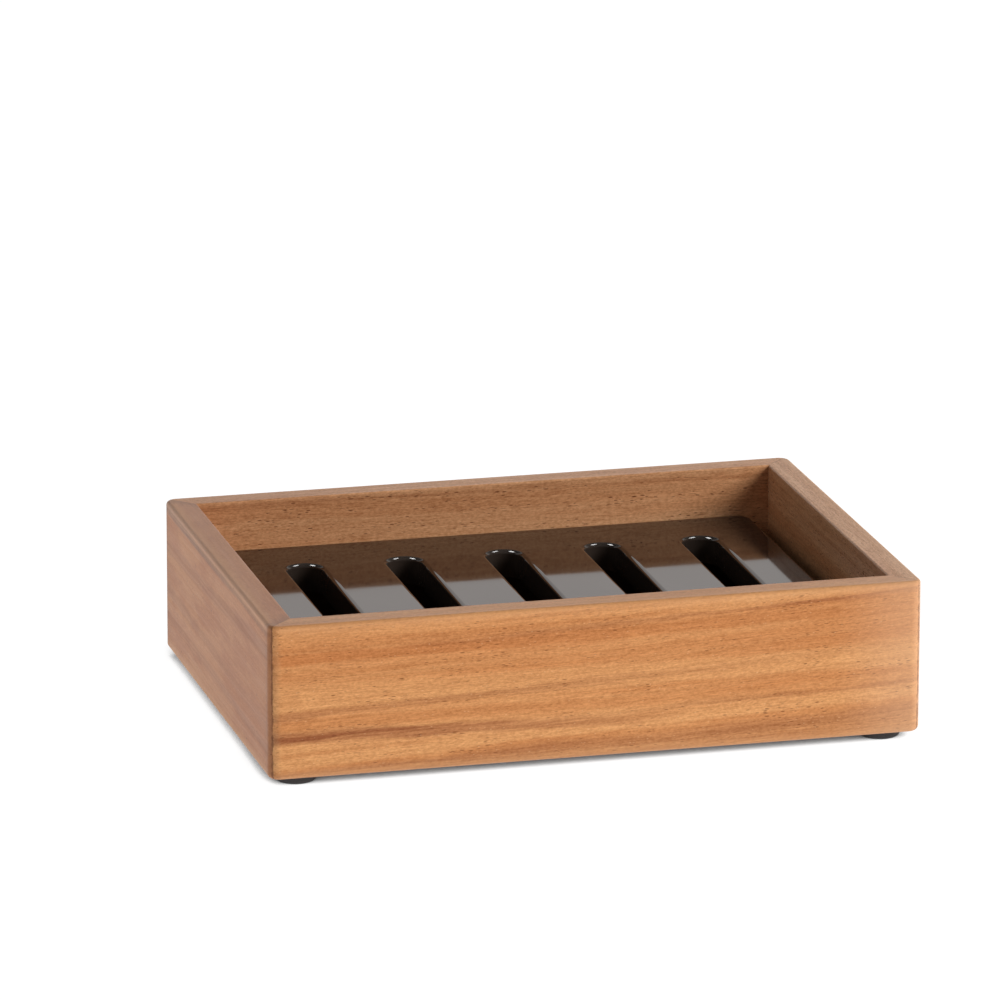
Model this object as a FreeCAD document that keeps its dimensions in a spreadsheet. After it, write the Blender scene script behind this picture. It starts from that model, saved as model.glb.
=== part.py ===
"""Soap dish: a mitred wooden box with a lift-out drain insert and rubber feet.

Millimetres. The origin is the middle of the footprint, on the surface that the dish
stands on. +Z is up, +X runs along the long side, and the front faces -Y.
"""
import FreeCAD, Part
import math
import os
import Sketcher

DRIVING_SIZES = [
    ("box_length", 140.0, "outside length of the box"),
    ("box_width", 100.0, "outside width of the box"),
    ("board_height", 33.0, "height of the four boards"),
    ("board_thickness", 6.0, "thickness of the four boards"),
    ("corner_round", 2.4, "rounding of the upright outer corners"),
    ("rim_round", 0.8, "rounding of the outer top edge"),
    ("bottom_round", 1.2, "rounding of the outer bottom edge"),
    ("inner_rim_round", 0.4, "easing of the inner top edge"),
    ("base_thickness", 4.0, "thickness of the base panel and height of its rebate"),
    ("rebate_depth", 3.0, "how far the rebate goes into each board"),
    ("panel_clearance", 0.15, "gap between the base panel and the rebate, all round"),
    ("panel_chamfer", 0.4, "broken lower edge of the base panel"),
    ("tongue_width", 4.0, "size of a corner tongue across the mitre"),
    ("tongue_thickness", 1.5, "thickness of a corner tongue along the mitre"),
    ("tongue_setback", 2.6, "tongue's middle behind the inner face of each board"),
    ("tongue_rise", 2.0, "wood between the base panel and the tongue"),
    ("tongue_cover", 5.0, "wood between the tongue and the rim"),
    ("tongue_clearance", 0.1, "glue gap round a tongue in its groove"),
    ("well_depth", 10.6, "depth of the soap well, from the rim to the insert"),
    ("insert_end_gap", 4.0, "gap between the insert and the left and right boards"),
    ("insert_side_gap", 0.35, "gap between the insert and the front and rear boards"),
    ("insert_shift", 0.7, "how far the loose insert lies to the left of the middle"),
    ("insert_corner_round", 3.0, "rounding of the insert's upright corners"),
    ("insert_edge_round", 1.2, "rounding of the insert's top edge"),
    ("plate_thickness", 2.5, "thickness of the insert's top plate"),
    ("skirt_thickness", 2.0, "thickness of the insert's skirt"),
    ("hollow_corner_round", 1.0, "rounding of the upright corners inside the skirt"),
    ("slot_count", 5, "number of drain slots"),
    ("slot_width", 7.6, "width of a drain slot between its walls"),
    ("slot_end_margin", 14.7, "from the insert's long edge to the end of a slot"),
    ("slot_side_margin", 16.0, "from the insert's short edge to the middle of the first slot"),
    ("slot_lip_round", 0.9, "rounding of the slots' upper lips"),
    ("collar_depth", 6.0, "depth of the walls that are turned down round a slot"),
    ("collar_wall", 1.8, "thickness of those walls"),
    ("foot_height", 2.0, "height of a foot"),
    ("foot_top_radius", 4.6, "radius of a foot where it sits on the wood"),
    ("foot_bottom_radius", 4.2, "radius of a foot on the ground"),
    ("foot_round", 0.7, "rounding of a foot's lower edge"),
    ("foot_inset", 7.0, "from the outer faces of the box to a foot's middle"),
]

# Sizes that follow from the driving ones, named for the pieces that use them.
INNER_LENGTH = "(sizes.box_length - 2 * sizes.board_thickness)"
INNER_WIDTH = "(sizes.box_width - 2 * sizes.board_thickness)"
REBATE_LENGTH = "(%s + 2 * sizes.rebate_depth)" % INNER_LENGTH
REBATE_WIDTH = "(%s + 2 * sizes.rebate_depth)" % INNER_WIDTH
INSERT_LENGTH = "(%s - 2 * sizes.insert_end_gap)" % INNER_LENGTH
INSERT_WIDTH = "(%s - 2 * sizes.insert_side_gap)" % INNER_WIDTH
INSERT_HEIGHT = "(sizes.board_height - sizes.base_thickness - sizes.well_depth)"
SLOT_LENGTH = "(%s - 2 * sizes.slot_end_margin)" % INSERT_WIDTH
SLOT_SPAN = "(%s - 2 * sizes.slot_side_margin)" % INSERT_LENGTH
TONGUE_HEIGHT = (
    "(sizes.board_height - sizes.base_thickness - sizes.tongue_rise - sizes.tongue_cover)"
)
UPRIGHT = FreeCAD.Vector(0, 0, 1)
TOLERANCE = 1e-4

doc = FreeCAD.newDocument("soap_dish")
sheet = doc.addObject("Spreadsheet::Sheet", "sizes")
for row, (alias, amount, meaning) in enumerate(DRIVING_SIZES, start=1):
    sheet.set("A%d" % row, alias)
    sheet.set("B%d" % row, str(amount))
    sheet.set("C%d" % row, meaning)
    sheet.setAlias("B%d" % row, alias)
doc.recompute()


def value(expression):
    return float(sheet.evalExpression(expression))


def new_body(name):
    body = doc.addObject("PartDesign::Body", name)
    body.Label = name
    return body


def new_sketch(body, name, role="XY_Plane", height=None):
    """A sketch on one of the body's own origin planes, raised by an expression if given."""
    sketch = body.newObject("Sketcher::SketchObject", name)
    plane = next(f for f in body.Origin.OriginFeatures if f.Role == role)
    sketch.AttachmentSupport = [(plane, "")]
    sketch.MapMode = "FlatFace"
    if height:
        sketch.setExpression("AttachmentOffset.Base.z", height)
    return sketch


def dimension(sketch, name, expression, kind, *references):
    """A named dimension of a sketch, bound to an expression."""
    index = sketch.addConstraint(Sketcher.Constraint(kind, *references, 1.0))
    sketch.renameConstraint(index, name)
    sketch.setExpression("Constraints." + name, expression)


def draw_four_lines(sketch, corners):
    """A closed outline of four lines through the corners."""
    for start, end in zip(corners, corners[1:] + corners[:1]):
        sketch.addGeometry(Part.LineSegment(start, end))
    for line in range(4):
        sketch.addConstraint(Sketcher.Constraint("Coincident", line, 2, (line + 1) % 4, 1))


def draw_rectangle(sketch, width, depth):
    """A rectangle centred on the sketch's origin, width along X and depth along Y."""
    half_width = value(width) / 2
    half_depth = value(depth) / 2
    signs = ((-1, -1), (1, -1), (1, 1), (-1, 1))
    draw_four_lines(sketch, [FreeCAD.Vector(x * half_width, y * half_depth, 0) for x, y in signs])
    for line, direction in enumerate(("Horizontal", "Vertical", "Horizontal", "Vertical")):
        sketch.addConstraint(Sketcher.Constraint(direction, line))
    sketch.addConstraint(Sketcher.Constraint("Symmetric", 0, 1, 2, 1, -1, 1))
    dimension(sketch, "width", width, "DistanceX", 0, 1, 0, 2)
    dimension(sketch, "depth", depth, "DistanceY", 1, 1, 1, 2)


def draw_slot(sketch, width, length, offset):
    """A round-ended slot along Y whose middle lies at minus offset on the X axis."""
    radius = value(width) / 2
    rear = FreeCAD.Vector(-value(offset), value(length) / 2 - radius, 0)
    front = FreeCAD.Vector(rear.x, -rear.y, 0)
    side = FreeCAD.Vector(radius, 0, 0)
    sketch.addGeometry(Part.LineSegment(front + side, rear + side))
    sketch.addGeometry(Part.ArcOfCircle(Part.Circle(rear, UPRIGHT, radius), 0, math.pi))
    sketch.addGeometry(Part.LineSegment(rear - side, front - side))
    sketch.addGeometry(Part.ArcOfCircle(Part.Circle(front, UPRIGHT, radius), math.pi, 2 * math.pi))
    for edge in range(4):
        sketch.addConstraint(Sketcher.Constraint("Tangent", edge, 2, (edge + 1) % 4, 1))
    sketch.addConstraint(Sketcher.Constraint("Vertical", 0))
    sketch.addConstraint(Sketcher.Constraint("Symmetric", 1, 3, 3, 3, -1))
    dimension(sketch, "end_radius", width + " / 2", "Radius", 1)
    dimension(sketch, "straight", "%s - %s" % (length, width), "DistanceY", 3, 3, 1, 3)
    dimension(sketch, "offset", offset, "DistanceX", 1, 3, -1, 1)


def pad(body, sketch, length):
    feature = body.newObject("PartDesign::Pad", sketch.Name + "_pad")
    feature.Profile = sketch
    feature.setExpression("Length", length)
    doc.recompute()
    return feature


def pocket(body, sketch, length=None):
    """Cuts upwards from the sketch, through all unless a length is given."""
    before = body.Tip.Shape.Volume
    feature = body.newObject("PartDesign::Pocket", sketch.Name + "_pocket")
    feature.Profile = sketch
    feature.Reversed = True
    if length:
        feature.setExpression("Length", length)
    else:
        feature.Type = "ThroughAll"
    doc.recompute()
    if feature.Shape.Volume > before - TOLERANCE:
        raise RuntimeError(feature.Name + " cuts nothing")
    return feature


def dress_edges(body, name, kind, dimension_name, expression, chosen):
    """Fillets or chamfers the edges of the body's tip that the function chosen picks."""
    base = body.Tip
    names = ["Edge%d" % i for i, edge in enumerate(base.Shape.Edges, start=1) if chosen(edge)]
    if not names:
        raise RuntimeError(name + " finds no edge")
    feature = body.newObject(kind, name)
    feature.Base = (base, names)
    feature.setExpression(dimension_name, expression)
    doc.recompute()


def fillet(body, name, radius, chosen):
    dress_edges(body, name, "PartDesign::Fillet", "Radius", radius, chosen)


def chamfer(body, name, leg, chosen):
    dress_edges(body, name, "PartDesign::Chamfer", "Size", leg, chosen)


def is_upright(edge):
    box = edge.BoundBox
    return box.ZLength > TOLERANCE and box.XLength < TOLERANCE and box.YLength < TOLERANCE


def lies_at(edge, height):
    return abs(edge.BoundBox.ZMin - height) < TOLERANCE and edge.BoundBox.ZLength < TOLERANCE


def outside(edge, length, width):
    """True for an edge whose middle lies outside a centred rectangle in plan."""
    middle = edge.CenterOfMass
    return abs(middle.x) > length / 2 - TOLERANCE or abs(middle.y) > width / 2 - TOLERANCE


def bar(name, width, thickness, height):
    """An upright bar of rectangular section that stands on its own origin."""
    body = new_body(name)
    section = new_sketch(body, name + "_section")
    draw_rectangle(section, width, thickness)
    pad(body, section, height)
    return body


# Glued-up frame: the four boards as one ring, with the base's rebate and the rounded edges.
frame = new_body("glued_frame")
outline = new_sketch(frame, "frame_outline")
draw_rectangle(outline, "sizes.box_length", "sizes.box_width")
pad(frame, outline, "sizes.board_height")
well = new_sketch(frame, "frame_well")
draw_rectangle(well, INNER_LENGTH, INNER_WIDTH)
pocket(frame, well)
rebate = new_sketch(frame, "frame_rebate")
draw_rectangle(rebate, REBATE_LENGTH, REBATE_WIDTH)
pocket(frame, rebate, "sizes.base_thickness")

rim_height = value("sizes.board_height")
full_plan = (value("sizes.box_length"), value("sizes.box_width"))
eased_plan = [side - value("sizes.corner_round") for side in full_plan]
rim_middle_plan = [side - value("sizes.board_thickness") for side in full_plan]
fillet(frame, "corner_fillet", "sizes.corner_round",
       lambda e: is_upright(e) and outside(e, *full_plan))
fillet(frame, "rim_fillet", "sizes.rim_round",
       lambda e: lies_at(e, rim_height) and outside(e, *rim_middle_plan))
fillet(frame, "bottom_fillet", "sizes.bottom_round",
       lambda e: lies_at(e, 0) and outside(e, *eased_plan))
fillet(frame, "inner_rim_fillet", "sizes.inner_rim_round",
       lambda e: lies_at(e, rim_height) and not outside(e, *rim_middle_plan))
frame.setExpression("Placement.Base.z", "sizes.foot_height")

# Corners of the box, as the signs of X and Y.
CORNERS = {
    "front_left": (-1, -1),
    "front_right": (1, -1),
    "rear_left": (-1, 1),
    "rear_right": (1, 1),
}


def to_corner(piece, x_sign, y_sign, inset, height, turn=0):
    """Places a piece at a corner of the box, inset from both outer faces."""
    piece.Placement = FreeCAD.Placement(FreeCAD.Vector(), FreeCAD.Rotation(UPRIGHT, turn))
    piece.setExpression("Placement.Base.x", "%d * (sizes.box_length / 2 - %s)" % (x_sign, inset))
    piece.setExpression("Placement.Base.y", "%d * (sizes.box_width / 2 - %s)" % (y_sign, inset))
    piece.setExpression("Placement.Base.z", height)


# Corner tongues: loose strips glued across the mitres, and the blind grooves that take them.
TONGUE_INSET = "(sizes.board_thickness - sizes.tongue_setback)"
TONGUE_BOTTOM = "sizes.foot_height + sizes.base_thickness + sizes.tongue_rise"
tongues = []
grooves = []
for corner, (x_sign, y_sign) in CORNERS.items():
    across_mitre = math.degrees(math.atan2(-x_sign, y_sign))
    tongue = bar("corner_tongue_" + corner, "sizes.tongue_width", "sizes.tongue_thickness",
                 TONGUE_HEIGHT)
    to_corner(tongue, x_sign, y_sign, TONGUE_INSET, TONGUE_BOTTOM, across_mitre)
    tongues.append(tongue)
    groove = bar("groove_" + corner, "sizes.tongue_width + 2 * sizes.tongue_clearance",
                 "sizes.tongue_thickness + 2 * sizes.tongue_clearance",
                 TONGUE_HEIGHT + " + sizes.tongue_clearance")
    to_corner(groove, x_sign, y_sign, TONGUE_INSET, TONGUE_BOTTOM, across_mitre)
    grooves.append(groove)
all_grooves = doc.addObject("Part::Compound", "all_grooves")
all_grooves.Links = grooves
grooved_frame = doc.addObject("Part::Cut", "grooved_frame")
grooved_frame.Base = frame
grooved_frame.Tool = all_grooves

# Boards: the frame split along its mitres. The wedge that keeps a board reaches one board
# thickness past the board's outer and inner face, above it and below it.
BOARDS = {
    "front_board": ("sizes.box_length / 2", "sizes.box_width / 2", 0),
    "right_board": ("sizes.box_width / 2", "sizes.box_length / 2", 90),
    "rear_board": ("sizes.box_length / 2", "sizes.box_width / 2", 180),
    "left_board": ("sizes.box_width / 2", "sizes.box_length / 2", 270),
}
boards = []
for name, (half_length, outer_face, turn) in BOARDS.items():
    wedge = doc.addObject("Part::Wedge", name + "_wedge")
    wedge.setExpression("Ymin", "-%s - sizes.board_thickness" % outer_face)
    wedge.setExpression("Xmin", "-%s - sizes.board_thickness" % half_length)
    wedge.setExpression("Xmax", "%s + sizes.board_thickness" % half_length)
    wedge.setExpression("Ymax", "-%s + 2 * sizes.board_thickness" % outer_face)
    wedge.setExpression("X2min", "-%s + 2 * sizes.board_thickness" % half_length)
    wedge.setExpression("X2max", "%s - 2 * sizes.board_thickness" % half_length)
    for low in ("Zmin", "Z2min"):
        wedge.setExpression(low, "sizes.foot_height - sizes.board_thickness")
    for high in ("Zmax", "Z2max"):
        wedge.setExpression(high, "sizes.foot_height + sizes.board_height + sizes.board_thickness")
    wedge.Placement = FreeCAD.Placement(FreeCAD.Vector(), FreeCAD.Rotation(UPRIGHT, turn))
    board = doc.addObject("Part::Common", name)
    board.Label = name
    board.Base = grooved_frame
    board.Tool = wedge
    boards.append(board)

# Base panel: lies in the rebate, flush with the boards' lower edges.
base_panel = new_body("base_panel")
panel_outline = new_sketch(base_panel, "panel_outline")
draw_rectangle(panel_outline, REBATE_LENGTH + " - 2 * sizes.panel_clearance",
               REBATE_WIDTH + " - 2 * sizes.panel_clearance")
pad(base_panel, panel_outline, "sizes.base_thickness")
chamfer(base_panel, "panel_edge", "sizes.panel_chamfer", lambda e: lies_at(e, 0))
base_panel.setExpression("Placement.Base.z", "sizes.foot_height")

# Drain insert: a moulded plate with a skirt that stands on the base panel, and slots whose
# walls are turned down into collars.
drain_insert = new_body("drain_insert")
insert_outline = new_sketch(drain_insert, "insert_outline")
draw_rectangle(insert_outline, INSERT_LENGTH, INSERT_WIDTH)
pad(drain_insert, insert_outline, INSERT_HEIGHT)
insert_height = value(INSERT_HEIGHT)
fillet(drain_insert, "insert_corner_fillet", "sizes.insert_corner_round", is_upright)
fillet(drain_insert, "insert_edge_fillet", "sizes.insert_edge_round",
       lambda e: lies_at(e, insert_height))
hollow = new_sketch(drain_insert, "insert_hollow")
draw_rectangle(hollow, INSERT_LENGTH + " - 2 * sizes.skirt_thickness",
               INSERT_WIDTH + " - 2 * sizes.skirt_thickness")
pocket(drain_insert, hollow, INSERT_HEIGHT + " - sizes.plate_thickness")
plate_underside = insert_height - value("sizes.plate_thickness")
fillet(drain_insert, "hollow_corner_fillet", "sizes.hollow_corner_round",
       lambda e: is_upright(e) and abs(e.BoundBox.ZMax - plate_underside) < TOLERANCE)

collar_outline = new_sketch(drain_insert, "collar_outline",
                            height=INSERT_HEIGHT + " - sizes.collar_depth")
draw_slot(collar_outline, "(sizes.slot_width + 2 * sizes.collar_wall)",
          "(%s + 2 * sizes.collar_wall)" % SLOT_LENGTH, SLOT_SPAN + " / 2")
collar = pad(drain_insert, collar_outline, "sizes.collar_depth - sizes.plate_thickness")
slot_outline = new_sketch(drain_insert, "slot_outline")
draw_slot(slot_outline, "sizes.slot_width", SLOT_LENGTH, SLOT_SPAN + " / 2")
slot = pocket(drain_insert, slot_outline)

slot_row = drain_insert.newObject("PartDesign::LinearPattern", "slot_row")
slot_row.Originals = [collar, slot]
slot_row.Direction = (slot_outline, ["H_Axis"])
slot_row.setExpression("Length", SLOT_SPAN)
slot_row.setExpression("Occurrences", "sizes.slot_count")
drain_insert.Tip = slot_row
doc.recompute()
slot_row_plan = [value(span) + value("sizes.slot_width") for span in (
    SLOT_SPAN + " + sizes.slot_width", SLOT_LENGTH)]
fillet(drain_insert, "slot_lip_fillet", "sizes.slot_lip_round",
       lambda e: lies_at(e, insert_height) and not outside(e, *slot_row_plan))
drain_insert.setExpression("Placement.Base.x", "-sizes.insert_shift")
drain_insert.setExpression("Placement.Base.z", "sizes.foot_height + sizes.base_thickness")

# Feet: rubber discs stuck under the corners, each turned with a slight taper.
foot_top = FreeCAD.Vector(0, value("sizes.foot_height"), 0)
foot_corners = [
    FreeCAD.Vector(),
    FreeCAD.Vector(value("sizes.foot_bottom_radius"), 0, 0),
    FreeCAD.Vector(value("sizes.foot_top_radius"), 0, 0) + foot_top,
    foot_top,
]
feet = []
for corner, (x_sign, y_sign) in CORNERS.items():
    foot = new_body("foot_" + corner)
    profile = new_sketch(foot, foot.Name + "_profile", role="XZ_Plane")
    draw_four_lines(profile, foot_corners)
    profile.addConstraint(Sketcher.Constraint("Coincident", 0, 1, -1, 1))
    profile.addConstraint(Sketcher.Constraint("Horizontal", 0))
    profile.addConstraint(Sketcher.Constraint("Horizontal", 2))
    profile.addConstraint(Sketcher.Constraint("Vertical", 3))
    dimension(profile, "bottom_radius", "sizes.foot_bottom_radius", "DistanceX", 0, 1, 0, 2)
    dimension(profile, "top_radius", "sizes.foot_top_radius", "DistanceX", 2, 2, 2, 1)
    dimension(profile, "tall", "sizes.foot_height", "DistanceY", 3, 2, 3, 1)
    turned = foot.newObject("PartDesign::Revolution", foot.Name + "_turned")
    turned.Profile = profile
    turned.ReferenceAxis = (profile, ["V_Axis"])
    doc.recompute()
    fillet(foot, foot.Name + "_edge", "sizes.foot_round", lambda e: lies_at(e, 0))
    to_corner(foot, x_sign, y_sign, "sizes.foot_inset", "0")
    feet.append(foot)

doc.recompute()
sub_parts = boards + [base_panel] + tongues + [drain_insert] + feet
for thing in doc.Objects:
    if "Invalid" in thing.State or "Error" in thing.State:
        raise RuntimeError("%s failed: %s" % (thing.Label, thing.State))
for piece in sub_parts:
    shape = piece.Shape
    if shape.isNull() or not shape.isValid() or len(shape.Solids) != 1:
        raise RuntimeError("%s has no single valid solid" % piece.Label)

os.makedirs("parts", exist_ok=True)
for piece in sub_parts:
    piece.Shape.exportStep("parts/%s.step" % piece.Label)
    box = piece.Shape.BoundBox
    print("%-26s volume %9.1f  X %.2f..%.2f  Y %.2f..%.2f  Z %.2f..%.2f" % (
        piece.Label, piece.Shape.Volume, box.XMin, box.XMax, box.YMin, box.YMax, box.ZMin, box.ZMax))
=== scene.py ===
import math

import bpy
from mathutils import Matrix, Vector


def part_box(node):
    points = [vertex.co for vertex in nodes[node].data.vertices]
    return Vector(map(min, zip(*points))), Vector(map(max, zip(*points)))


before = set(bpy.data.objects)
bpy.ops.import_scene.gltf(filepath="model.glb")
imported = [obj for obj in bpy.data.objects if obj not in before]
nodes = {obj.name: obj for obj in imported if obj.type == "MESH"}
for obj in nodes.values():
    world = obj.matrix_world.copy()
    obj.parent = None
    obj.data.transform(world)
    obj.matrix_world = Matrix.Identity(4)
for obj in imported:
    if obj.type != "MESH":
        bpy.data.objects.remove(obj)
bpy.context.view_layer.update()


# Boards: four strips of an open-pored golden brown hardwood, planed, cut to a mitre at both
# ends and glued round the base panel. The faces are sanded, the outer edges rounded over,
# and the wood is oiled, so it keeps a dull sheen.
def seen(red, green, blue):
    """A linear colour from the 0 to 255 values that it has on a screen."""
    shares = [channel / 255 for channel in (red, green, blue)]
    return [((s + 0.055) / 1.055) ** 2.4 if s > 0.04045 else s / 12.92 for s in shares] + [1.0]


def feed(tree, socket, source):
    """Links a socket to its source, or sets it where the source is a plain value."""
    if isinstance(source, bpy.types.NodeSocket):
        tree.links.new(source, socket)
    else:
        socket.default_value = source


def math_step(tree, operation, *sources, clamp=False):
    """The value that a Math node makes of its sources."""
    step = tree.nodes.new("ShaderNodeMath")
    step.operation = operation
    step.use_clamp = clamp
    for socket, source in zip(step.inputs, sources):
        feed(tree, socket, source)
    return step.outputs["Value"]


def fade(tree, source, low, high):
    """0 where the source is at low, 1 where it is at high, and smooth between them."""
    step = tree.nodes.new("ShaderNodeMapRange")
    step.interpolation_type = "SMOOTHSTEP"
    feed(tree, step.inputs["Value"], source)
    feed(tree, step.inputs["From Min"], low)
    feed(tree, step.inputs["From Max"], high)
    return step.outputs["Result"]


def fade_out(tree, source, low, high):
    """1 where the source is at low, 0 where it is at high, and smooth between them."""
    return math_step(tree, "SUBTRACT", 1.0, fade(tree, source, low, high))


def blend_colours(tree, factor, under, over):
    """The under colour, covered by the over colour as far as the factor says."""
    step = tree.nodes.new("ShaderNodeMix")
    step.data_type = "RGBA"
    feed(tree, step.inputs["Factor"], factor)
    feed(tree, step.inputs[6], under)
    feed(tree, step.inputs[7], over)
    return step.outputs[2]


def stretched(tree, vector, scale, shift=(0, 0, 0), turn=0):
    """The vector, scaled, turned about Z and shifted by a Mapping node."""
    step = tree.nodes.new("ShaderNodeMapping")
    feed(tree, step.inputs["Vector"], vector)
    step.inputs["Scale"].default_value = scale
    step.inputs["Location"].default_value = shift
    step.inputs["Rotation"].default_value = (0, 0, turn)
    return step.outputs["Vector"]


def cloudy(tree, vector, detail=2.0, roughness=0.5, output="Fac"):
    """Noise over a vector that already has its scale."""
    step = tree.nodes.new("ShaderNodeTexNoise")
    feed(tree, step.inputs["Vector"], vector)
    step.inputs["Scale"].default_value = 1.0
    step.inputs["Detail"].default_value = detail
    step.inputs["Roughness"].default_value = roughness
    return step.outputs[output]


def new_group(name, inputs, outputs):
    """A shader node group with the named sockets, and its input and output nodes."""
    tree = bpy.data.node_groups.new(name, "ShaderNodeTree")
    for label, kind in inputs:
        tree.interface.new_socket(label, in_out="INPUT", socket_type="NodeSocket" + kind)
    for label, kind in outputs:
        tree.interface.new_socket(label, in_out="OUTPUT", socket_type="NodeSocket" + kind)
    return tree, tree.nodes.new("NodeGroupInput"), tree.nodes.new("NodeGroupOutput")


def vector_step(tree, operation, *sources):
    """The vector that a Vector Math node makes of its sources."""
    step = tree.nodes.new("ShaderNodeVectorMath")
    step.operation = operation
    for socket, source in zip(step.inputs, sources):
        feed(tree, socket, source)
    return step.outputs["Vector"]


def moved(tree, vector, offset, reach):
    """The vector, moved by an offset that lies between 0 and 1, by up to the reach to each side."""
    both_sides = [2 * side for side in reach]
    return vector_step(tree, "SUBTRACT", vector_step(
        tree, "MULTIPLY_ADD", offset, both_sides, vector), reach)


def cells(tree, vector):
    """Scattered cells: the distance from the middle of each, and three draws of its own."""
    step = tree.nodes.new("ShaderNodeTexVoronoi")
    step.inputs["Scale"].default_value = 1.0
    feed(tree, step.inputs["Vector"], vector)
    draws = tree.nodes.new("ShaderNodeSeparateColor")
    feed(tree, draws.inputs["Color"], step.outputs["Color"])
    return step.outputs["Distance"], draws.outputs


def spots(tree, distance, reach):
    """1 in the middle of a cell, fading to 0 at the reach."""
    return fade_out(tree, distance, math_step(tree, "MULTIPLY", reach, 0.4), reach)


# Grain of the wood, in millimetres: X along the board, Y through it and Z up. Each layer is a noise
# or a scatter of cells drawn out along the board, and its scale is their number to a millimetre.
DRIFT_SCALE = (0.014, 0.05, 0.055)
DRIFT_REACH = (0, 1.5, 1.5)
RIPPLE_SCALE = (0.09, 0.35, 0.45)
RIPPLE_REACH = (0, 0.25, 0.3)
BAND_SCALE = (0.0045, 0.10, 0.16)
LINE_SCALE = (0.013, 0.8, 1.2)
FIBRE_SCALE = (0.22, 2.6, 3.8)
GRIT_SCALE = (1.3, 2.6, 3.0)
CROWD_SCALE = (0.03, 0.3, 0.5)
PORE_SCALE = (0.55, 2.4, 3.0)
CRACK_SCALE = (0.22, 2.2, 2.8)
FLECK_SCALE = (1.1, 1.6, 1.9)
FLECK_COLOUR = seen(238, 196, 148)
WARMTH_OF_SHADE = (0.85, 1.15, 1.4)

grain, grain_in, grain_out = new_group(
    "hardwood_grain",
    [("Place", "Vector"), ("Gold", "Float"), ("Band", "Float"), ("Streak", "Float"),
     ("Contrast", "Float"), ("Pored", "Float"), ("Light", "Color"), ("Dark", "Color"),
     ("Red", "Color"), ("Pore", "Color")],
    [("Colour", "Color"), ("Roughness", "Float"), ("Height", "Float")])
place = grain_in.outputs["Place"]
drift = cloudy(grain, stretched(grain, place, DRIFT_SCALE), output="Color")
ripple = cloudy(grain, stretched(grain, place, RIPPLE_SCALE), output="Color")
along = moved(grain, moved(grain, place, drift, DRIFT_REACH), ripple, RIPPLE_REACH)


def grain_layer(scale, detail, roughness, low, high):
    """Noise along the grain, 0 at its low value and 1 at its high one."""
    return fade(grain, cloudy(grain, stretched(grain, along, scale), detail, roughness), low, high)


bands = grain_layer(BAND_SCALE, 3.0, 0.6, 0.36, 0.66)
lines = grain_layer(LINE_SCALE, 5.0, 0.68, 0.30, 0.70)
fibres = grain_layer(FIBRE_SCALE, 3.0, 0.65, 0.25, 0.75)
grit = grain_layer(GRIT_SCALE, 2.0, 0.6, 0.25, 0.75)

# Pores are short dark dashes, and cracks longer and fainter ones. Both crowd together in places.
crowd = grain_layer(CROWD_SCALE, 3.0, 0.6, 0.40, 0.64)
pore_distance, pore_draws = cells(grain, stretched(grain, along, PORE_SCALE))
pore_kept = fade(grain, math_step(
    grain, "MULTIPLY_ADD", crowd, 0.40, pore_draws["Green"]), 0.78, 1.05)
pore_reach = math_step(grain, "MULTIPLY_ADD", pore_draws["Red"], 0.30, 0.12)
pores = math_step(grain, "MULTIPLY", pore_kept, spots(grain, pore_distance, pore_reach))
crack_distance, crack_draws = cells(grain, stretched(grain, along, CRACK_SCALE))
crack_kept = fade(grain, math_step(
    grain, "MULTIPLY_ADD", crowd, 0.35, crack_draws["Green"]), 0.75, 1.10)
cracks = math_step(grain, "MULTIPLY", crack_kept, spots(grain, crack_distance, 0.26))
pores = math_step(grain, "MAXIMUM", pores, math_step(grain, "MULTIPLY", cracks, 0.55))
pores = math_step(grain, "MULTIPLY", pores, grain_in.outputs["Pored"])
fleck_distance, fleck_draws = cells(grain, stretched(grain, along, FLECK_SCALE))
flecks = math_step(grain, "MULTIPLY", fade(grain, fleck_draws["Blue"], 0.80, 0.95),
                   spots(grain, fleck_distance, 0.30))

# Colour: light wood with dark bands, except where it is golden, then red streaks broken by the
# fine lines. Lines, fibres and grit shade it by these shares, and the shade is redder than the light.
tone = math_step(grain, "MAXIMUM", math_step(grain, "MULTIPLY", bands, 0.75), grain_in.outputs["Band"])
tone = math_step(grain, "MULTIPLY_ADD", math_step(
    grain, "MULTIPLY", tone, grain_in.outputs["Gold"]), -1.0, tone)
ground = blend_colours(grain, tone, grain_in.outputs["Light"], grain_in.outputs["Dark"])
broken = math_step(grain, "MULTIPLY_ADD", lines, 0.5, 0.6)
redness = math_step(grain, "MULTIPLY", grain_in.outputs["Streak"], broken, clamp=True)
ground = blend_colours(grain, redness, ground, grain_in.outputs["Red"])
texture = 0.0
for layer, shading in ((lines, 0.16), (fibres, 0.24), (grit, 0.30)):
    texture = math_step(grain, "ADD", texture, math_step(
        grain, "MULTIPLY_ADD", layer, -shading, shading / 2))
texture = math_step(grain, "MULTIPLY", texture, grain_in.outputs["Contrast"])
warmed = vector_step(grain, "MULTIPLY_ADD", texture, WARMTH_OF_SHADE, (1, 1, 1))
shaded = vector_step(grain, "MULTIPLY", ground, warmed)
pored = blend_colours(
    grain, math_step(grain, "MULTIPLY", pores, 0.75), shaded, grain_in.outputs["Pore"])
feed(grain, grain_out.inputs["Colour"], blend_colours(
    grain, math_step(grain, "MULTIPLY", flecks, 0.3), pored, FLECK_COLOUR))
dullness = math_step(grain, "MULTIPLY_ADD", lines, 0.08, 0.38)
feed(grain, grain_out.inputs["Roughness"],
     math_step(grain, "MULTIPLY_ADD", pores, 0.25, dullness, clamp=True))
feed(grain, grain_out.inputs["Height"], math_step(
    grain, "MULTIPLY_ADD", pores, -1.0, math_step(grain, "MULTIPLY", fibres, -0.3)))

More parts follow.
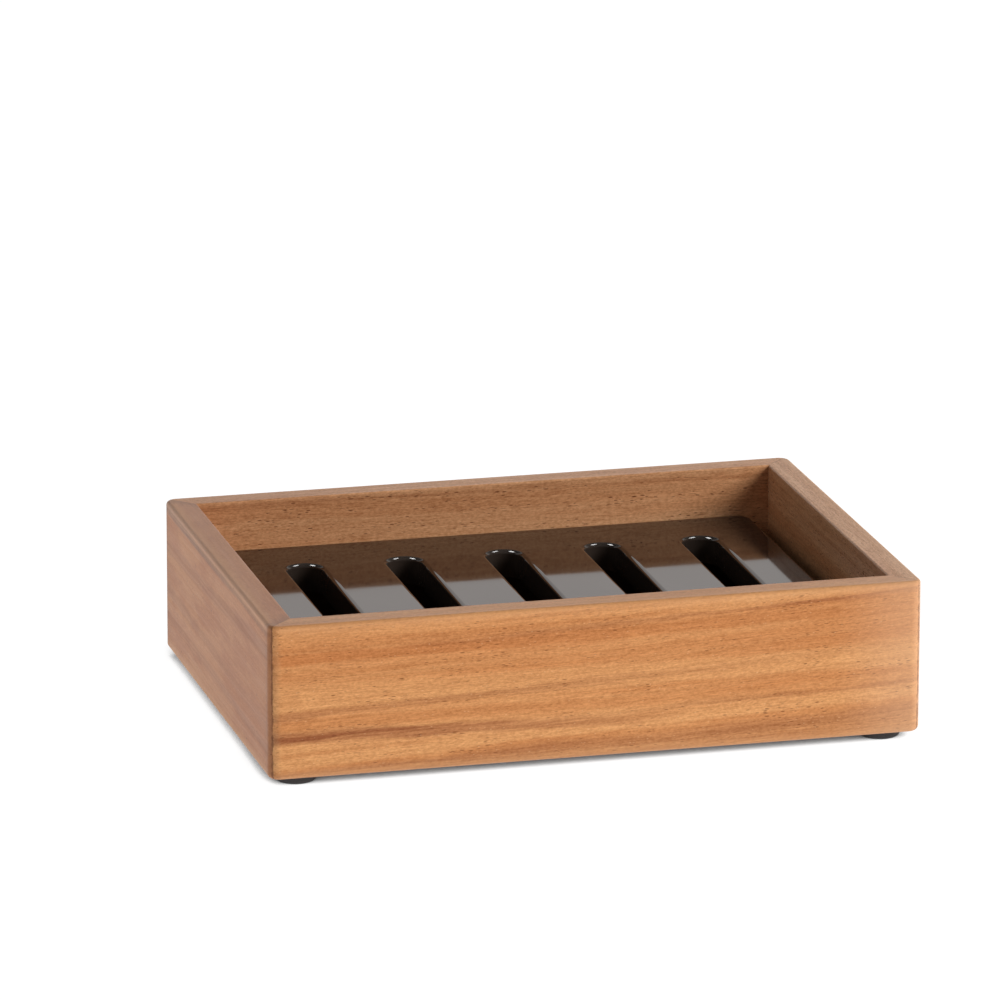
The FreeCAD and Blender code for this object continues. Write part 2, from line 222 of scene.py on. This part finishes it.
MM = 1000.0
rim_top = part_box("front_board")[1].z * MM
wood_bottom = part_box("front_board")[0].z * MM
box_half_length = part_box("right_board")[1].x * MM
box_half_width = -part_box("front_board")[0].y * MM
board_thickness = box_half_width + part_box("front_board")[1].y * MM
well_half_length = box_half_length - board_thickness

# Joint: the brown glue line where two boards meet at a mitre, fainter where the rim is sanded and
# wiped off inside the box, and a strip beside it where the glue has soaked into the wood. The line
# is uneven, and reaches less than a millimetre to each side of the mitre.
SANDED_DEPTH = 0.6
SANDED_OFF = 0.6
WIPED_FROM = 2.0
WIPED_CLEAN = 0.5

joint, joint_in, joint_out = new_group(
    "mitre_glue_line", [("Place", "Vector")], [("Line", "Float"), ("Beside", "Float")])
spread = joint.nodes.new("ShaderNodeSeparateXYZ")
feed(joint, spread.inputs["Vector"], joint_in.outputs["Place"])
reach_x = math_step(joint, "ABSOLUTE", spread.outputs["X"])
reach_y = math_step(joint, "ABSOLUTE", spread.outputs["Y"])
off_mitre = math_step(joint, "ABSOLUTE", math_step(
    joint, "SUBTRACT", math_step(joint, "SUBTRACT", reach_x, reach_y),
    box_half_length - box_half_width))
uneven = math_step(joint, "MULTIPLY_ADD", cloudy(
    joint, stretched(joint, joint_in.outputs["Place"], (0.9, 0.9, 0.9)), 3.0, 0.6), 2.2, -0.65)
line = fade_out(joint, off_mitre, math_step(joint, "MULTIPLY", uneven, 0.15), uneven)
sanded = fade(joint, spread.outputs["Z"], rim_top - SANDED_DEPTH, rim_top)
line = math_step(joint, "MULTIPLY", line, math_step(joint, "MULTIPLY_ADD", sanded, -SANDED_OFF, 1.0))
left_on = fade(joint, reach_x, well_half_length + WIPED_CLEAN, well_half_length + WIPED_FROM)
feed(joint, joint_out.inputs["Line"], math_step(joint, "MULTIPLY", line, left_on))
soaked_reach = math_step(joint, "MULTIPLY_ADD", uneven, 6.0, 3.0)
feed(joint, joint_out.inputs["Beside"], fade_out(joint, off_mitre, 0.3, soaked_reach))

# Edges: the rounded outer edges are a little paler than the faces, partly sanding wear and partly a
# painted highlight along the rounding. At an edge two of the three distances to the outer faces are
# small, so the two smaller ones are added up.
edges, edges_in, edges_out = new_group("sanded_and_highlit_edges", [("Place", "Vector")], [("Edge", "Float")])
spread = edges.nodes.new("ShaderNodeSeparateXYZ")
feed(edges, spread.inputs["Vector"], edges_in.outputs["Place"])
gap_x = math_step(edges, "SUBTRACT", box_half_length, math_step(edges, "ABSOLUTE", spread.outputs["X"]))
gap_y = math_step(edges, "SUBTRACT", box_half_width, math_step(edges, "ABSOLUTE", spread.outputs["Y"]))
gap_z = math_step(edges, "MINIMUM", math_step(edges, "SUBTRACT", rim_top, spread.outputs["Z"]),
                  math_step(edges, "SUBTRACT", spread.outputs["Z"], wood_bottom))
largest = math_step(edges, "MAXIMUM", gap_x, math_step(edges, "MAXIMUM", gap_y, gap_z))
total = math_step(edges, "ADD", gap_x, math_step(edges, "ADD", gap_y, gap_z))
to_edge = math_step(edges, "SUBTRACT", total, largest)
uneven_edge = cloudy(edges, stretched(edges, edges_in.outputs["Place"], (0.7, 0.7, 0.7)), 4.0, 0.7)
feed(edges, edges_out.inputs["Edge"], fade_out(
    edges, to_edge, 0.4, math_step(edges, "MULTIPLY_ADD", uneven_edge, 5.0, 0.4)))


def new_material(name):
    """A material with nodes, its node tree and its Principled shader."""
    material = bpy.data.materials.new(name)
    material.use_nodes = True
    shader = material.node_tree.nodes["Principled BSDF"]
    return material, material.node_tree, shader


def place_in_mm(tree, turn=0):
    """The place on the object in millimetres, turned about Z."""
    coordinates = tree.nodes.new("ShaderNodeTexCoord")
    return stretched(tree, coordinates.outputs["Object"], (MM, MM, MM), turn=turn)


def set_group(tree, group):
    """A node group, placed in a material's node tree."""
    step = tree.nodes.new("ShaderNodeGroup")
    step.node_tree = group
    return step


def figure(tree, share, height, streaks):
    """A mask of soft streaks along a board. Each has its height at the board's two ends and its
    half width, in millimetres, and its strength at the two ends."""
    mask = 0.0
    for left, right, half_width, left_strength, right_strength in streaks:
        middle = math_step(tree, "MULTIPLY_ADD", share, right - left, left)
        off_middle = math_step(tree, "ABSOLUTE", math_step(tree, "SUBTRACT", height, middle))
        soft = min(0.8 * half_width, 1.4)
        inside = fade_out(tree, off_middle, half_width - soft, half_width)
        strength = math_step(tree, "MULTIPLY_ADD", share, right_strength - left_strength,
                             left_strength, clamp=True)
        mask = math_step(tree, "MAXIMUM", mask, math_step(tree, "MULTIPLY", inside, strength))
    return mask


WANDER_SCALE = (0.03, 0.12, 0.16)
BLOTCH_SCALE = (0.045, 0.12, 0.14)
RIM_DEPTH = 1.2
RIM_FULL_DEPTH = 0.2
RIM_SHINE = 0.6
RIM_COAT = 1.1
RIM_PORES_FILLED = 0.6
# The wood turns paler towards the right end of a board, by an amount given per board.
PALER_RIGHT_END_FROM = 0.85
# Paler rounded edges, partly sanding wear and partly a painted highlight along the rounding.
EDGE_PALENESS = 0.35
EDGE_COLOUR = seen(226, 172, 122)
PALER_RIGHT_END_COLOUR = seen(232, 186, 150)
SOAKED_COLOUR = seen(126, 74, 48)
GLUE_STRENGTH = 0.6
GLUE_COLOUR = seen(92, 53, 34)


def wood(name, streaks=(), bands=(), golds=(), shift=(0, 0, 0), turn=0, slope=0.0, bow=0.0, sway=1.7,
         contrast=1.0, pored=1.0, shine=0.2, soaked=0.0, blotchy=0.0, paler_right_end=0.0,
         light=(216, 153, 97), dark=(190, 117, 64), red=(156, 92, 54), pore=(110, 58, 31)):
    """Oiled wood whose grain runs along X, turned to suit a board and shifted to a place of its
    own in the log. Red streaks, brown bands and golden ones follow figure() and wander by the
    sway. The grain climbs to the right by the slope, and bends up further by the bow. Contrast
    and pored scale its shading and its pores. Soaked is how dark the wood is beside the glue,
    blotchy how mottled, and the paler right end how much lighter the wood turns towards its
    right end. The rim is smoothed more than the sides, whose shine is given, so it shines more
    and shows fewer pores."""
    material, tree, shader = new_material(name)
    place = place_in_mm(tree)
    board_place = place_in_mm(tree, turn)
    split = tree.nodes.new("ShaderNodeSeparateXYZ")
    feed(tree, split.inputs["Vector"], board_place)
    half_length = box_half_width if turn else box_half_length
    share = math_step(tree, "MULTIPLY_ADD", split.outputs["X"], 0.5 / half_length, 0.5)
    wander = math_step(tree, "MULTIPLY_ADD", cloudy(
        tree, stretched(tree, board_place, WANDER_SCALE, shift), 4.0, 0.55), 2 * sway, -sway)
    height = math_step(tree, "ADD", math_step(tree, "SUBTRACT", split.outputs["Z"], wood_bottom), wander)
    climb = math_step(tree, "MULTIPLY", share, math_step(
        tree, "MULTIPLY_ADD", share, 2 * half_length * bow, 2 * half_length * slope))
    level_place = tree.nodes.new("ShaderNodeCombineXYZ")
    feed(tree, level_place.inputs["X"], split.outputs["X"])
    feed(tree, level_place.inputs["Y"], split.outputs["Y"])
    feed(tree, level_place.inputs["Z"], math_step(tree, "SUBTRACT", split.outputs["Z"], climb))
    rim = fade(tree, split.outputs["Z"], rim_top - RIM_DEPTH, rim_top - RIM_FULL_DEPTH)
    blotches = fade(tree, cloudy(
        tree, stretched(tree, board_place, BLOTCH_SCALE, shift), 3.0, 0.6), 0.38, 0.62)

    figured = set_group(tree, grain)
    feed(tree, figured.inputs["Place"], stretched(tree, level_place.outputs["Vector"], (1, 1, 1), shift))
    feed(tree, figured.inputs["Gold"], figure(tree, share, height, golds))
    feed(tree, figured.inputs["Band"], math_step(
        tree, "MAXIMUM", figure(tree, share, height, bands),
        math_step(tree, "MULTIPLY", blotches, blotchy)))
    feed(tree, figured.inputs["Streak"], figure(tree, share, height, streaks))
    feed(tree, figured.inputs["Pored"], math_step(
        tree, "MULTIPLY_ADD", rim, -RIM_PORES_FILLED * pored, pored))
    figured.inputs["Contrast"].default_value = contrast
    for label, colour in (("Light", light), ("Dark", dark), ("Red", red), ("Pore", pore)):
        figured.inputs[label].default_value = seen(*colour)
    glue = set_group(tree, joint)
    feed(tree, glue.inputs["Place"], place)
    wear_and_highlight = set_group(tree, edges)
    feed(tree, wear_and_highlight.inputs["Place"], place)

    colour = figured.outputs["Colour"]
    # The paler rounded edges here are partly sanding wear and partly a painted highlight.
    for mask, strength, over in (
            (wear_and_highlight.outputs["Edge"], EDGE_PALENESS, EDGE_COLOUR),
            (fade(tree, share, PALER_RIGHT_END_FROM, 1.0), paler_right_end, PALER_RIGHT_END_COLOUR),
            (glue.outputs["Beside"], soaked, SOAKED_COLOUR),
            (glue.outputs["Line"], GLUE_STRENGTH, GLUE_COLOUR)):
        colour = blend_colours(tree, math_step(tree, "MULTIPLY", mask, strength), colour, over)
    feed(tree, shader.inputs["Base Color"], colour)
    feed(tree, shader.inputs["Roughness"], figured.outputs["Roughness"])
    shader.inputs["IOR"].default_value = 1.48
    shader.inputs["Specular IOR Level"].default_value = shine
    feed(tree, shader.inputs["Coat Weight"], math_step(
        tree, "MULTIPLY", rim, RIM_COAT * (RIM_SHINE - shine)))
    shader.inputs["Coat Roughness"].default_value = 0.4
    bump = tree.nodes.new("ShaderNodeBump")
    bump.inputs["Strength"].default_value = 0.35
    bump.inputs["Distance"].default_value = 0.12 / MM
    feed(tree, bump.inputs["Height"], figured.outputs["Height"])
    feed(tree, shader.inputs["Normal"], bump.outputs["Normal"])
    return material


def finish_node(name, material):
    """Gives a CAD node one material all over."""
    mesh = nodes[name].data
    mesh.materials.clear()
    mesh.materials.append(material)


ACROSS = math.radians(90)
finish_node("front_board", wood(
    "front_board_wood",
    streaks=[(-3.8, 1.4, 6.0, 0.8, 0.5), (9.0, 7.2, 1.9, 2.0, -1.1), (13.0, 20.0, 1.3, 0.6, 0.0),
             (7.0, 11.6, 0.7, 0.0, 0.5), (25.7, 31.3, 0.8, 0.0, 0.75)],
    bands=[(25.6, 27.6, 2.2, 0.9, 0.65), (22.5, 25.0, 1.0, 0.5, 0.2), (11.5, 12.0, 2.0, 0.6, 0.4)],
    golds=[(3.4, 9.6, 2.0, 1.0, 0.9), (17.0, 17.5, 3.0, 0.5, 1.0)],
    slope=0.022, bow=0.018, paler_right_end=0.35))
# The rear board is coloured paler and less saturated than the front: painted light and sheen on the rear
# wall.
finish_node("rear_board", wood(
    "rear_board_wood",
    streaks=[(31.8, 31.0, 0.8, 0.4, 0.3)],
    bands=[(25.5, 27.5, 1.5, 0.4, 0.5)],
    shift=(310, 40, 0), contrast=1.3, pored=1.6, shine=0.4,
    light=(222, 164, 118), dark=(204, 139, 93)))
# The left board is coloured darker than the front: painted shade on the left side of the box.
finish_node("left_board", wood(
    "left_board_wood",
    streaks=[(31.7, 31.2, 1.2, 1.3, 0.4), (23.0, 27.0, 2.2, 0.2, 0.3), (14.0, 11.0, 2.0, 0.25, 0.1),
             (8.0, 6.5, 1.8, 0.15, 0.3)],
    bands=[(16.0, 16.0, 22.0, 0.0, 0.6)],
    shift=(620, 90, 0), turn=ACROSS, sway=1.1, contrast=0.45, pored=0.25, soaked=0.4, blotchy=0.8,
    light=(201, 138, 90), dark=(182, 114, 69), red=(128, 77, 52)))
# The right board is coloured paler than the front: painted light on its inner face, in the key's shadow.
finish_node("right_board", wood(
    "right_board_wood",
    streaks=[(12.0, 9.0, 1.5, 0.5, 0.3), (29.0, 27.0, 2.4, 0.15, 0.2)],
    bands=[(20.0, 22.0, 3.0, 0.5, 0.5)],
    shift=(940, 150, 0), turn=ACROSS, contrast=1.4, pored=1.4, shine=0.5,
    light=(218, 165, 122), dark=(196, 134, 90)))

# Corner tongues: loose strips of the same wood, glued into blind grooves across the mitres.
# They hold the corners and are hidden once the box is glued up.
CORNERS = ("front_left", "front_right", "rear_left", "rear_right")
tongue_wood = wood("corner_tongue_wood", shift=(1300, 0, 0))
for corner in CORNERS:
    finish_node("corner_tongue_" + corner, tongue_wood)

# Base panel: a thin solid panel of plain wood, glued into the rebate under the boards. It closes
# the box and carries the insert.
finish_node("base_panel", wood(
    "base_panel_wood", shift=(1600, 20, 0), light=(198, 140, 90), dark=(176, 112, 66)))

# Drain insert: one injection moulding in polished brown-black plastic, with rounded lips round its
# five slots and a top that has warped a little in the mould. It stands loose on the base panel and
# lifts out to be rinsed.
PLASTIC_DARK = seen(48, 40, 35)
PLASTIC_PALE = seen(54, 45, 39)
DUST_COLOUR = seen(120, 112, 104)
DUST_COVER = 0.35
LARGEST_MOTE = 0.10
TILT_OF_TOP = -0.005
HEIGHT_OF_WAVES = 0.14

insert_plastic, tree, shader = new_material("drain_insert_plastic")
insert_place = place_in_mm(tree)
smears = cloudy(tree, stretched(tree, insert_place, (0.05, 0.05, 0.05)), 4.0, 0.6)
mote_distance, mote_draws = cells(tree, stretched(tree, insert_place, (0.7, 0.7, 0.7)))
mote_reach = math_step(tree, "MULTIPLY", math_step(
    tree, "POWER", mote_draws["Red"], 4.0), LARGEST_MOTE)
dust = spots(tree, mote_distance, mote_reach)
plastic = blend_colours(tree, fade(tree, smears, 0.3, 0.7), PLASTIC_DARK, PLASTIC_PALE)
feed(tree, shader.inputs["Base Color"], blend_colours(
    tree, math_step(tree, "MULTIPLY", dust, DUST_COVER), plastic, DUST_COLOUR))
polish = math_step(tree, "MULTIPLY_ADD", smears, 0.06, 0.03)
feed(tree, shader.inputs["Roughness"], math_step(
    tree, "MULTIPLY_ADD", dust, 0.4, polish, clamp=True))
across = tree.nodes.new("ShaderNodeSeparateXYZ")
feed(tree, across.inputs["Vector"], insert_place)
waves = cloudy(tree, stretched(tree, insert_place, (0.03, 0.025, 0.02)), 1.0)
warp = tree.nodes.new("ShaderNodeBump")
warp.inputs["Distance"].default_value = 1 / MM
feed(tree, warp.inputs["Height"], math_step(
    tree, "MULTIPLY_ADD", across.outputs["Y"], TILT_OF_TOP,
    math_step(tree, "MULTIPLY", waves, HEIGHT_OF_WAVES)))
feed(tree, shader.inputs["Normal"], warp.outputs["Normal"])
shader.inputs["IOR"].default_value = 1.46
finish_node("drain_insert", insert_plastic)

# Feet: soft black rubber discs, turned with a slight taper and stuck under the corners. The rubber
# is finely pebbled and mottled with grey.
RUBBER_BLACK = seen(34, 30, 30)
RUBBER_GREY = seen(52, 46, 46)

foot_rubber, tree, shader = new_material("foot_rubber")
foot_place = place_in_mm(tree)
specks = cloudy(tree, stretched(tree, foot_place, (2.5, 2.5, 2.5)), 4.0, 0.6)
feed(tree, shader.inputs["Base Color"], blend_colours(
    tree, fade(tree, specks, 0.35, 0.7), RUBBER_BLACK, RUBBER_GREY))
feed(tree, shader.inputs["Roughness"], math_step(tree, "MULTIPLY_ADD", specks, 0.2, 0.55))
pebble = tree.nodes.new("ShaderNodeBump")
pebble.inputs["Strength"].default_value = 0.3
pebble.inputs["Distance"].default_value = 0.08 / MM
feed(tree, pebble.inputs["Height"], specks)
feed(tree, shader.inputs["Normal"], pebble.outputs["Normal"])
for corner in CORNERS:
    finish_node("foot_" + corner, foot_rubber)

# Stage: a white light table and a white backdrop behind it. The table glows, so it lights the
# dish's sides evenly from below, and is dark only under the dish and close behind it. It can be
# looked through from below.
FLOOR_SIZE = 8.0
FLOOR_GAP = 0.05 / MM
FLOOR_ALBEDO = 0.1
SHADOW_REACH = 0.02
SHADOW_TILT = math.radians(30)
SHADED_OPENNESS = 0.415
CLEAR_OPENNESS = 0.625
DARKEST_GLOW = 0.05

bpy.ops.object.select_all(action="DESELECT")
bpy.ops.mesh.primitive_plane_add(size=FLOOR_SIZE, location=(0, 0, -FLOOR_GAP))
floor = bpy.context.object
floor.name = "floor"
bpy.ops.object.transform_apply(location=True)

# The shadow falls where the table isn't open towards the front, so none spreads before the dish.
floor_white, tree, shader = new_material("floor_white")
tree.nodes.remove(shader)
nearby = tree.nodes.new("ShaderNodeAmbientOcclusion")
nearby.inputs["Distance"].default_value = SHADOW_REACH
nearby.samples = 16
towards_front = tree.nodes.new("ShaderNodeCombineXYZ")
towards_front.inputs["Y"].default_value = -math.cos(SHADOW_TILT)
towards_front.inputs["Z"].default_value = math.sin(SHADOW_TILT)
feed(tree, nearby.inputs["Normal"], towards_front.outputs["Vector"])
contact = tree.nodes.new("ShaderNodeMapRange")
feed(tree, contact.inputs["Value"], nearby.outputs["AO"])
contact.inputs["From Min"].default_value = SHADED_OPENNESS
contact.inputs["From Max"].default_value = CLEAR_OPENNESS
contact.inputs["To Min"].default_value = DARKEST_GLOW
glow = tree.nodes.new("ShaderNodeEmission")
feed(tree, glow.inputs["Strength"], contact.outputs["Result"])
matt = tree.nodes.new("ShaderNodeBsdfDiffuse")
matt.inputs["Color"].default_value = (FLOOR_ALBEDO, FLOOR_ALBEDO, FLOOR_ALBEDO, 1)
both = tree.nodes.new("ShaderNodeAddShader")
feed(tree, both.inputs[0], glow.outputs["Emission"])
feed(tree, both.inputs[1], matt.outputs["BSDF"])
side_seen = tree.nodes.new("ShaderNodeNewGeometry")
clear = tree.nodes.new("ShaderNodeBsdfTransparent")
one_sided = tree.nodes.new("ShaderNodeMixShader")
feed(tree, one_sided.inputs["Fac"], side_seen.outputs["Backfacing"])
feed(tree, one_sided.inputs[1], both.outputs["Shader"])
feed(tree, one_sided.inputs[2], clear.outputs["BSDF"])
feed(tree, tree.nodes["Material Output"].inputs["Surface"], one_sided.outputs["Shader"])
floor_white.cycles.emission_sampling = "NONE"
floor.data.materials.append(floor_white)

# The backdrop is what the camera and reflections see: white to the camera, and in reflections a
# warm white screen low down behind the dish, with a dim room round it.
WHITE = (1, 1, 1, 1)
WARM_WHITE = (1.0, 0.94, 0.91, 1)
AMBIENT_LEVEL = 0.11
SCREEN_LEVEL = 1.0
ROOM_LEVEL = 0.2

world = bpy.data.worlds.new("studio")
bpy.context.scene.world = world
world.use_nodes = True
tree = world.node_tree
ambient = tree.nodes["Background"]
ambient.inputs["Color"].default_value = WHITE
ambient.inputs["Strength"].default_value = AMBIENT_LEVEL
rays = tree.nodes.new("ShaderNodeLightPath")
looking = tree.nodes.new("ShaderNodeTexCoord")
heading = tree.nodes.new("ShaderNodeSeparateXYZ")
feed(tree, heading.inputs["Vector"], looking.outputs["Generated"])
backdrop = tree.nodes.new("ShaderNodeBackground")
feed(tree, backdrop.inputs["Color"], blend_colours(
    tree, rays.outputs["Is Camera Ray"], WARM_WHITE, WHITE))
low = fade_out(tree, heading.outputs["Z"], 0.40, 0.66)
behind = fade(tree, heading.outputs["Y"], -0.1, 0.25)
screen = math_step(tree, "MULTIPLY_ADD", math_step(
    tree, "MULTIPLY", low, behind), SCREEN_LEVEL - ROOM_LEVEL, ROOM_LEVEL)
feed(tree, backdrop.inputs["Strength"],
     math_step(tree, "MAXIMUM", screen, rays.outputs["Is Camera Ray"]))
watched = math_step(tree, "MAXIMUM", rays.outputs["Is Camera Ray"], math_step(
    tree, "MAXIMUM", rays.outputs["Is Glossy Ray"], rays.outputs["Is Transmission Ray"]))
either = tree.nodes.new("ShaderNodeMixShader")
feed(tree, either.inputs["Fac"], watched)
feed(tree, either.inputs[1], ambient.outputs["Background"])
feed(tree, either.inputs[2], backdrop.outputs["Background"])
feed(tree, tree.nodes["World Output"].inputs["Surface"], either.outputs["Shader"])


# Lamps: a key from the right and in front of the dish, a weak fill from the left, and two catch
# lights, high at both sides, that only show as glints in the polished insert.
def direction(azimuth, elevation):
    """From the dish towards a point at that angle to the right of its front, in degrees."""
    turn = math.radians(azimuth)
    tilt = math.radians(elevation)
    return Vector((math.sin(turn) * math.cos(tilt), -math.cos(turn) * math.cos(tilt), math.sin(tilt)))


LAMP_DISTANCE = 1.6


def lamp(name, azimuth, elevation, size, level):
    """A square softbox. A white surface that faces it squarely renders at the level given."""
    data = bpy.data.lights.new(name, "AREA")
    data.size = size
    data.energy = level * (math.pi * LAMP_DISTANCE) ** 2
    softbox = bpy.data.objects.new(name, data)
    bpy.context.scene.collection.objects.link(softbox)
    towards = direction(azimuth, elevation)
    softbox.location = towards * LAMP_DISTANCE
    softbox.rotation_euler = towards.to_track_quat("Z", "Y").to_euler()
    return softbox


key = lamp("key", azimuth=53, elevation=28.5, size=0.75, level=0.82)
fill = lamp("fill", azimuth=-86, elevation=30, size=0.6, level=0.075)
for softbox in (key, fill):
    softbox.visible_glossy = False
polished = bpy.data.collections.new("polished_pieces")
polished.objects.link(nodes["drain_insert"])
for name, azimuth, level in (("catch_light_right", 81.5, 0.75), ("catch_light_left", -93, 1.0)):
    catch_light = lamp(name, azimuth, elevation=60, size=0.6, level=level)
    catch_light.visible_diffuse = False
    catch_light.light_linking.receiver_collection = polished

# Camera: the photograph's own viewpoint, found from the edges of the box. It looks down a little
# through a long lens, from the left of the front.
SENSOR_WIDTH = 36.0
FOCAL_LENGTH = 296.36
VIEW_AZIMUTH = -14.6654
VIEW_ELEVATION = 15.8372
VIEW_ROLL = 0.15
VIEW_DISTANCE = 1.7546
AIM = Vector((-0.00494, 0.01258, 0.04049))

camera_data = bpy.data.cameras.new("camera")
camera_data.sensor_width = SENSOR_WIDTH
camera_data.lens = FOCAL_LENGTH
camera_data.clip_end = 50.0
camera = bpy.data.objects.new("camera", camera_data)
bpy.context.scene.collection.objects.link(camera)
bpy.context.scene.camera = camera
back = direction(VIEW_AZIMUTH, VIEW_ELEVATION)
camera.matrix_world = (
    Matrix.Translation(AIM + back * VIEW_DISTANCE)
    @ back.to_track_quat("Z", "Y").to_matrix().to_4x4()
    @ Matrix.Rotation(math.radians(VIEW_ROLL), 4, "Z"))

bpy.context.scene.view_settings.view_transform = "Standard"
